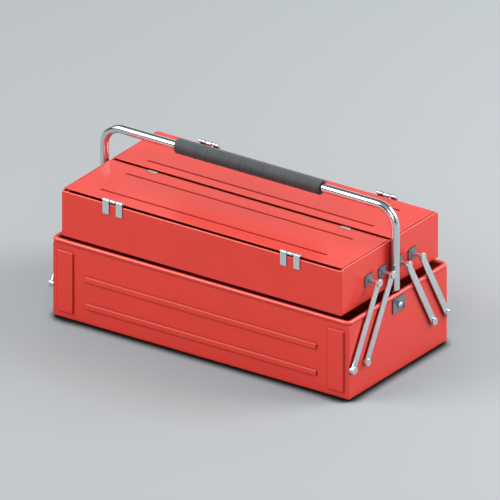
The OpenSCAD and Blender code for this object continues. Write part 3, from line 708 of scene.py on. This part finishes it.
def grained(tree, place, size_mm, detail, depth_mm):
    """The surface's tilt over a grain of a real size and depth."""
    height = add_node(tree, "TexNoise", {"Vector": place, "Scale": 1 / (size_mm * MM),
                                         "Detail": detail})
    return add_node(tree, "Bump", {"Height": height, "Distance": depth_mm * MM, "Strength": 1})


def laid_over(tree, under, over, share, *scale):
    """A colour laid over another by a share; scale stretches it from one range to another."""
    if scale:
        share = add_node(tree, "MapRange", (share, *scale))
    return add_node(tree, "Mix", {0: share, 6: under, 7: over}, 2, data_type="RGBA")


def powder_coated_steel(colours, tree, place):
    """Polyester powder coat, sprayed and baked on sheet steel.

    The eye gets an even red with a satin gloss under a flowed-out glossy skin, a faint orange peel
    of about 3 mm, thinner and paler paint along sharp edges, partly wear and partly a painted
    highlight, painted deep red shade in hollows, a painted highlight on upward slopes and painted
    dull deep shade in folds.
    """
    paint = laid_over(tree, tinted(colours.red, 0.98), tinted(colours.red, 1.02),
                      blotches(tree, place, 55, 3))
    edges = add_node(tree, "NewGeometry", output="Pointiness")
    # Paler paint along sharp edges, in patches: partly wear and partly a painted edge highlight
    worn_and_painted_highlight = add_node(tree, "Math", (add_node(tree, "MapRange", (edges, 0.53, 0.6, 0.0, 0.3)),
                                   blotches(tree, place, 6, 3, 0.35, 1.0, 0.35, 0.65)),
                    operation="MULTIPLY")
    paint = laid_over(tree, paint, tinted(srgb("#F08A7C")), worn_and_painted_highlight)
    # Painted shade: deep red where the surface is hollow, along grooves and creases
    paint = laid_over(tree, paint, tinted(srgb("#960B04")), edges, 0.495, 0.475, 0.0, 0.9)
    upward = add_node(tree, "SeparateXYZ", (add_node(tree, "TexCoord", output="Normal"),), "Z")
    # Painted highlight: a paler tone on faces that slope upwards, none on flat tops
    painted_slope_highlight = add_node(tree, "Math", (add_node(tree, "MapRange", (upward, 0.3, 0.75, 0.0, 0.5)),
                                    add_node(tree, "MapRange", (upward, 0.97, 0.9, 0.0, 1.0))),
                     operation="MULTIPLY")
    paint = laid_over(tree, paint, tinted(srgb("#FF8A78")), painted_slope_highlight)
    folds = add_node(tree, "AmbientOcclusion", {"Distance": 3.6 * MM}, "AO", samples=4)
    shade = add_node(tree, "MapRange", (folds, 0.94, 0.45, 0.0, 0.92))
    dulled = add_node(tree, "Math", (shade, 0.4), operation="MULTIPLY")
    gloss = blotches(tree, place, 30, 2, 0.29, 0.34)
    return {
        "Base Color": laid_over(tree, paint, tinted(srgb("#6E0702")), shade),
        "Roughness": add_node(tree, "Math", (gloss, dulled), operation="ADD"),
        "Specular IOR Level": add_node(tree, "MapRange", (shade, 0.1, 0.8, 0.5, 0.05)),
        "Coat Weight": add_node(tree, "MapRange", (shade, 0.1, 0.6, 0.35, 0.0)),
        "Coat Roughness": 0.4,
        "IOR": 1.52,
        "Normal": grained(tree, place, 3.0, 1, 0.001),
    }


def zinc_plated_steel(colours, tree, place):
    """Steel stampings and turned pins, tumbled and plated with bright zinc.

    The eye gets a soft blue-grey metal with cloudy spangle, a painted highlight along its rounded
    edges, painted shade in its crevices and fine scratches from the barrel.
    """
    metal = laid_over(tree, tinted(colours.zinc, 0.90), tinted(colours.zinc, 1.04),
                      blotches(tree, place, 7, 4, rough=0.6))
    edges = add_node(tree, "NewGeometry", output="Pointiness")
    # Painted highlight: a paler tone along sharp edges
    metal = laid_over(tree, metal, tinted(srgb("#E6ECEF")), edges, 0.51, 0.6, 0.0, 0.5)
    # Painted shade: a dark tone in crevices within 2 mm
    folds = add_node(tree, "AmbientOcclusion", {"Distance": 2 * MM}, "AO", samples=4)
    return {
        "Base Color": laid_over(tree, metal, tinted(srgb("#3A3F44")), folds, 0.8, 0.3, 0.0, 0.7),
        "Metallic": 1.0,
        "Roughness": blotches(tree, place, 3, 4, 0.31, 0.43),
        "Normal": grained(tree, place, 0.8, 3, 0.01),
    }


def chrome_plated_tube(colours, tree, place):
    """Drawn steel tube, polished and chromium plated.

    The eye gets sharp light and dark bands along the tube, with a faint haze of fingerprints and
    drawing lines.
    """
    haze = blotches(tree, place, 30, 3, start=0.35)
    return {
        "Base Color": laid_over(tree, tinted(colours.chrome), tinted(colours.chrome, 0.93), haze),
        "Metallic": 1.0,
        "Roughness": blotches(tree, place, 12, 4, 0.15, 0.21, 0.35),
        "Normal": grained(tree, place, 14, 1, 0.002),
    }


def stoved_paint_plate(colours, tree, place):
    """Steel backing plate with a dark blue-grey stoved paint.

    The eye gets a low satin gloss, a fine grain and paler edges where the paint has rubbed.
    """
    paint = laid_over(tree, tinted(colours.plate, 0.85), tinted(colours.plate, 1.12),
                      blotches(tree, place, 4, 4))
    edges = add_node(tree, "NewGeometry", output="Pointiness")
    return {
        "Base Color": laid_over(tree, paint, tinted(srgb("#8A96A0")), edges, 0.52, 0.62, 0.0, 0.5),
        "Roughness": blotches(tree, place, 2, 3, 0.38, 0.5),
        "IOR": 1.5,
        "Normal": grained(tree, place, 0.9, 2, 0.02),
    }


def nitrile_foam_grip(colours, tree, place):
    """Nitrile foam sleeve with a skin, rolled on over the tube.

    The eye gets a matt dark grey, darkened towards the underside by painted shade, with a soft
    sheen at glancing angles and a fine open grain. The real pores are about 0.2 mm and are
    drawn at 0.6 mm so that they show.
    """
    foam = laid_over(tree, tinted(colours.foam, 0.9), tinted(colours.foam, 1.1),
                     blotches(tree, place, 22, 3))
    pores = add_node(tree, "TexVoronoi", {"Vector": place, "Scale": 1 / (0.6 * MM)}, "Distance")
    foam = laid_over(tree, foam, tinted(colours.foam, 0.5), pores, 0.0, 0.35, 0.25, 0.0)
    # Painted shade: the grip darkens towards its underside
    upward = add_node(tree, "SeparateXYZ", (add_node(tree, "TexCoord", output="Normal"),), "Z")
    return {
        "Base Color": laid_over(tree, foam, tinted(srgb("#161718")), upward, 0.7, -0.7, 0.0, 0.92),
        "Roughness": blotches(tree, place, 9, 3, 0.62, 0.76),
        "IOR": 1.45,
        "Sheen Weight": 0.25,
        "Sheen Roughness": 0.4,
        "Normal": grained(tree, place, 0.7, 2, 0.05),
    }


def moulded_rubber_feet(colours, tree, place):
    """Compression-moulded black rubber.

    The eye gets a matt near-black with pale dust on it and a fine mould grain.
    """
    dust = blotches(tree, place, 5, 4, 0.0, 0.35, 0.45, 0.75)
    return {
        "Base Color": laid_over(tree, tinted(colours.rubber), tinted(srgb("#4A4A48")), dust),
        "Roughness": blotches(tree, place, 2, 3, 0.7, 0.85),
        "IOR": 1.5,
        "Normal": grained(tree, place, 0.6, 2, 0.03),
    }


def matt_studio_paper(colours, tree, place):
    """Matt studio paper, pale grey.

    The eye gets an even tone, with painted light that makes it a little lighter towards the back,
    a painted cooler tint close to the red box against its red bounce light, and a painted dark
    contact shade under it.
    """
    split = add_node(tree, "SeparateXYZ", (place,)).node.outputs
    along = add_node(tree, "Math", (split["X"], 0.35, 0.0), operation="MULTIPLY_ADD")
    back = add_node(tree, "Math", (split["Y"], along), operation="ADD")
    # Painted light: the paper grows lighter towards the back and the right
    tone = laid_over(tree, tinted(colours.floor, 0.86), tinted(colours.floor, 1.06),
                     back, -0.5, 0.9, 0.0, 1.0)
    near, contact = (add_node(tree, "AmbientOcclusion", {"Distance": reach * MM}, "AO", samples=8)
                     for reach in (120, 17))
    # Painted cool tint close to the box, against the red light that it bounces onto the paper
    cool = [c * t for c, t in zip(colours.floor, (0.86, 0.97, 0.99))]
    tone = laid_over(tree, tone, tinted(cool), near, 0.98, 0.7, 0.0, 1.0)
    tone = laid_over(tree, tone, tinted(srgb("#141516")), contact, 0.9, 0.55, 0.0, 0.98)
    return {"Base Color": tone, "Roughness": 0.9, "Specular IOR Level": 0.2}


FINISHES = {
    "red_paint": powder_coated_steel,
    "plated_steel": zinc_plated_steel,
    "bright_tube": chrome_plated_tube,
    "dark_plate": stoved_paint_plate,
    "foam_grip": nitrile_foam_grip,
    "rubber_feet": moulded_rubber_feet,
    "floor": matt_studio_paper,
}


def finish_for(slot):
    """The material of a slot, named for its finish and made at its first use."""
    finish = FINISHES[slot]
    material = bpy.data.materials.get(finish.__name__)
    if not material:
        material = bpy.data.materials.new(finish.__name__)
        material.use_nodes = True
        tree = material.node_tree
        tree.nodes.clear()
        place = add_node(tree, "TexCoord", output="Object")
        sockets = finish(bpy.context.scene.toolbox_colours, tree, place)
        shader = add_node(tree, "BsdfPrincipled", sockets)
        add_node(tree, "OutputMaterial", {"Surface": shader})
    return material


def add_object(name, data):
    """A new object in the scene."""
    thing = bpy.data.objects.new(name, data)
    bpy.context.scene.collection.objects.link(thing)
    return thing


def dress(name, shape, body, slot, node, end=1, side=1, sharp=32):
    """One visible piece, in metres, that rides on a body and stands for a CAD node.

    end and side mirror a shape that is drawn for the back right quarter.
    """
    vertices, faces = placed(shape, end, side)
    mesh = bpy.data.meshes.new(name)
    mesh.from_pydata([tuple(c * MM for c in v) for v in vertices], [], faces)
    shell = bmesh.new()
    shell.from_mesh(mesh)
    bmesh.ops.remove_doubles(shell, verts=shell.verts, dist=1e-7)
    bmesh.ops.recalc_face_normals(shell, faces=shell.faces)
    shell.to_mesh(mesh)
    shell.free()
    mesh.shade_smooth()
    mesh.set_sharp_from_angle(angle=math.radians(sharp))
    mesh.materials.append(finish_for(slot))
    piece = add_object(name, mesh)
    evened = piece.modifiers.new("Flat faces stay flat", "WEIGHTED_NORMAL")
    evened.keep_sharp = True
    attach(piece, body)
    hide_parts(node)


# Operators for the pieces


class TOOLBOX_OT_base(bpy.types.Operator):
    """Build the painted base box with its pressings and rolled rim"""
    bl_idname = "toolbox.base"
    bl_label = "Base box"

    def execute(self, context):
        shape = base_box(context.scene.toolbox_sheet)
        dress("painted_base_box", shape, "base", "red_paint", "base_shell")
        return {"FINISHED"}


class TOOLBOX_OT_feet(bpy.types.Operator):
    """Build the four rubber feet"""
    bl_idname = "toolbox.feet"
    bl_label = "Feet"

    def execute(self, context):
        shape = rubber_feet(context.scene.toolbox_fittings)
        dress("moulded_feet", shape, "base", "rubber_feet", "feet")
        return {"FINISHED"}


class TOOLBOX_OT_trays(bpy.types.Operator):
    """Build the two trays with their flanges and hems"""
    bl_idname = "toolbox.trays"
    bl_label = "Trays"

    def execute(self, context):
        for name, side in SIDES.items():
            shape = tray_box(context.scene.toolbox_sheet, *SEAMS[name][:3])
            dress("tray_box_" + name, shape, name + "_tray", "red_paint", "tray_" + name,
                  side=side)
        return {"FINISHED"}


class TOOLBOX_OT_lids(bpy.types.Operator):
    """Build the two lids with their grooves, and the lift tabs of the front one"""
    bl_idname = "toolbox.lids"
    bl_label = "Lids"

    def execute(self, context):
        for name, side in SIDES.items():
            shape = lid_sheet(context.scene.toolbox_sheet, SEAMS[name][3], name == "front")
            dress("lid_sheet_" + name, shape, name + "_lid", "red_paint", "lid_" + name,
                  side=side)
        tabs = lift_tabs(context.scene.toolbox_fittings)
        dress("lift_tabs", tabs, "front_lid", "plated_steel", "lid_tabs", side=SIDES["front"])
        return {"FINISHED"}


class TOOLBOX_OT_links(bpy.types.Operator):
    """Build the eight flat links"""
    bl_idname = "toolbox.links"
    bl_label = "Links"

    def execute(self, context):
        for row in LOW_PIVOTS:
            shape = link_bar(row, context.scene.toolbox_fittings)
            for corner, signs in CORNERS.items():
                dress("link_bar_%s_%s" % (row, corner), shape, "%s_%s_link" % (corner, row),
                      "plated_steel", "link_%s_%s" % (row, corner), *signs)
        return {"FINISHED"}


class TOOLBOX_OT_pins(bpy.types.Operator):
    """Build the pins on the base, and finish the spacers behind the links"""
    bl_idname = "toolbox.pins"
    bl_label = "Link pins"

    def execute(self, context):
        shape = base_pins(context.scene.toolbox_fittings)
        for end, sign in ENDS.items():
            dress("disc_pins_" + end, shape, "base", "plated_steel", "link_pins_" + end, sign)
            for node in ("link_spacers_" + end, "handle_spacer_" + end):
                frame["nodes"][node].material_slots[0].material = finish_for("plated_steel")
        return {"FINISHED"}


class TOOLBOX_OT_studs(bpy.types.Operator):
    """Build the studs that carry the trays, and the dark plates behind them"""
    bl_idname = "toolbox.studs"
    bl_label = "Tray studs"

    def execute(self, context):
        sizes = context.scene.toolbox_fittings
        for name, side in SIDES.items():
            dress("stud_rods_" + name, tray_studs(sizes), name + "_tray", "plated_steel",
                  "tray_studs_" + name, side=side)
            dress("stud_backings_" + name, stud_plates(sizes), name + "_tray", "dark_plate",
                  "stud_plates_" + name, side=side)
        return {"FINISHED"}


class TOOLBOX_OT_hinges(bpy.types.Operator):
    """Build the lid hinges: rolled straps on the trays and leaves on the lids"""
    bl_idname = "toolbox.hinges"
    bl_label = "Lid hinges"

    def execute(self, context):
        sizes = context.scene.toolbox_fittings
        for corner, signs in CORNERS.items():
            side = corner.split("_")[0]
            dress("rolled_straps_" + corner, rolled_strap(sizes), side + "_tray", "plated_steel",
                  "hinge_straps_" + corner, *signs)
            dress("knuckle_leaf_" + corner, leaf_plate(sizes), side + "_lid", "plated_steel",
                  "hinge_leaf_" + corner, *signs)
            pin = frame["nodes"]["hinge_pin_" + corner]
            pin.material_slots[0].material = finish_for("plated_steel")
        return {"FINISHED"}


class TOOLBOX_OT_handle(bpy.types.Operator):
    """Build the bent tube and its foam grip"""
    bl_idname = "toolbox.handle"
    bl_label = "Handle"

    def execute(self, context):
        grip = foam_grip(context.scene.toolbox_fittings)
        dress("bent_tube", bent_handle(), "handle", "bright_tube", "handle_tube", sharp=40)
        dress("foam_sleeve", grip, "handle", "foam_grip", "handle_grip", sharp=60)
        return {"FINISHED"}


class TOOLBOX_OT_handle_fixings(bpy.types.Operator):
    """Build the backing plates, bolts and nuts that carry the handle"""
    bl_idname = "toolbox.handle_fixings"
    bl_label = "Handle fixings"

    def execute(self, context):
        sizes = context.scene.toolbox_fittings
        plate = backing_plate((0, BOLT_Z), BACKING, sizes.plate_corner / MM, WALL_X, BACKING_T,
                              sizes)
        fixings = (("backing_", plate, "dark_plate", "handle_plate_"),
                   ("round_bolt_", round_bolt(), "plated_steel", "handle_bolt_"),
                   ("hex_nut_", hex_nut(), "plated_steel", "handle_nut_"))
        for end, sign in ENDS.items():
            for name, shape, slot, node in fixings:
                dress(name + end, shape, "base", slot, node + end, sign)
        return {"FINISHED"}


# Stage


def studio_floor():
    """A wide sheet of paper, which keeps the box's shadow."""
    half = FLOOR_HALF
    mesh = bpy.data.meshes.new("studio_floor")
    mesh.from_pydata([(-half, -half, 0), (half, -half, 0), (half, half, 0), (-half, half, 0)],
                     [], [(0, 1, 2, 3)])
    mesh.materials.append(finish_for("floor"))
    floor = add_object("studio_floor", mesh)


def plain_room(settings, paper):
    """The room's even light, a weaker room in mirrored rays, and the paper's colour beyond it."""
    world = bpy.data.worlds.new("plain_room")
    world.use_nodes = True
    tree = world.node_tree
    tree.nodes.clear()
    way = add_node(tree, "SeparateXYZ", (add_node(tree, "TexCoord", output="Generated"),))
    height, depth = way.node.outputs["Z"], way.node.outputs["Y"]
    rays = add_node(tree, "LightPath").node.outputs
    front, top = (add_node(tree, "Mix", {0: rays["Is Glossy Ray"], 2: lit, 3: seen})
                  for lit, seen in ((settings.front_sky, settings.front_seen),
                                    (settings.top_sky, settings.top_seen)))
    before = add_node(tree, "MapRange", (height, SKY_LOW, SKY_HIGH, 0.0, front))
    behind = add_node(tree, "MapRange", (height, SKY_LOW, SKY_HIGH, settings.back_sky, top))
    turn = add_node(tree, "MapRange", (depth, -0.4, 0.4, 0.0, 1.0))
    level = add_node(tree, "Mix", {0: turn, 2: before, 3: behind})
    light = add_node(tree, "Background", {"Strength": level})
    beyond = add_node(tree, "Background", {"Color": tinted(paper), "Strength": PAPER_SEEN})
    both = add_node(tree, "MixShader", (rays["Is Camera Ray"], light, beyond))
    add_node(tree, "OutputWorld", {"Surface": both})
    return world


def add_aimed(name, data, place, way):
    """A lamp or camera at a place, that looks one way."""
    thing = add_object(name, data)
    thing.location = place
    thing.rotation_mode = "QUATERNION"
    thing.rotation_quaternion = way.to_track_quat("-Z", "Y")
    return thing


def add_softbox(name, place, width, power):
    """A square softbox that looks at the middle of the box."""
    data = bpy.data.lights.new(name, "AREA")
    data.shape = "SQUARE"
    data.size = width
    data.energy = power
    add_aimed(name, data, place, Vector(LAMP_AIM) - Vector(place))


def photo_camera(settings):
    """The photo's viewpoint, with no perspective."""
    data = bpy.data.cameras.new("photo_camera")
    data.type = "ORTHO"
    data.ortho_scale = settings.span
    data.clip_start, data.clip_end = 0.01, 30
    azimuth, elevation = settings.azimuth, settings.elevation
    back = Vector((math.sin(azimuth) * math.cos(elevation),
                   -math.cos(azimuth) * math.cos(elevation), math.sin(elevation)))
    camera = add_aimed("photo_camera", data, Vector(FRAME_CENTRE) + back * CAMERA_BACK, -back)
    bpy.context.scene.camera = camera


class TOOLBOX_OT_stage(bpy.types.Operator):
    """Set up the floor, the lamps, the room's light and the camera"""
    bl_idname = "toolbox.stage"
    bl_label = "Stage"

    def execute(self, context):
        scene, settings = context.scene, context.scene.toolbox_stage
        scene.view_settings.view_transform = "Standard"
        studio_floor()
        scene.world = plain_room(settings, scene.toolbox_colours.floor)
        for name, (place, width) in SOFTBOXES.items():
            add_softbox(name + "_softbox", place, width, getattr(settings, name + "_power"))
        photo_camera(settings)
        return {"FINISHED"}


class TOOLBOX_PT_panel(bpy.types.Panel):
    """Sidebar panel with the sizes, the colours and a button for each group of pieces"""
    bl_idname = "TOOLBOX_PT_panel"
    bl_label = "Cantilever toolbox"
    bl_space_type = "VIEW_3D"
    bl_region_type = "UI"
    bl_category = "Toolbox"

    def draw(self, context):
        for name, group in GROUPS.items():
            box = self.layout.box()
            for field in group.__annotations__:
                box.prop(getattr(context.scene, name), field)
        for operator in OPERATORS:
            self.layout.operator(operator.bl_idname)


GROUPS = {
    "toolbox_sheet": SheetSizes,
    "toolbox_fittings": FittingSizes,
    "toolbox_colours": FinishColours,
    "toolbox_stage": StageSettings,
}
OPERATORS = [TOOLBOX_OT_base, TOOLBOX_OT_feet, TOOLBOX_OT_trays, TOOLBOX_OT_lids, TOOLBOX_OT_links,
             TOOLBOX_OT_pins, TOOLBOX_OT_studs, TOOLBOX_OT_hinges, TOOLBOX_OT_handle,
             TOOLBOX_OT_handle_fixings, TOOLBOX_OT_stage]
CLASSES = [*GROUPS.values(), *OPERATORS, TOOLBOX_PT_panel]


def register():
    """Registers the classes and hangs the groups of sizes on the scene."""
    for cls in CLASSES:
        bpy.utils.register_class(cls)
    for name, group in GROUPS.items():
        setattr(bpy.types.Scene, name, bpy.props.PointerProperty(type=group))


def unregister():
    """Takes the groups off the scene and removes the classes."""
    for name in GROUPS:
        delattr(bpy.types.Scene, name)
    for cls in reversed(CLASSES):
        bpy.utils.unregister_class(cls)


def main():
    """Builds every piece and the stage."""
    kept = set(frame["nodes"].values()) | set(frame["bodies"].values())
    for other in [o for o in bpy.data.objects if o not in kept]:
        bpy.data.objects.remove(other)
    register()
    for operator in OPERATORS:
        group, name = operator.bl_idname.split(".")
        getattr(getattr(bpy.ops, group), name)()


if __name__ == "__main__":
    main()
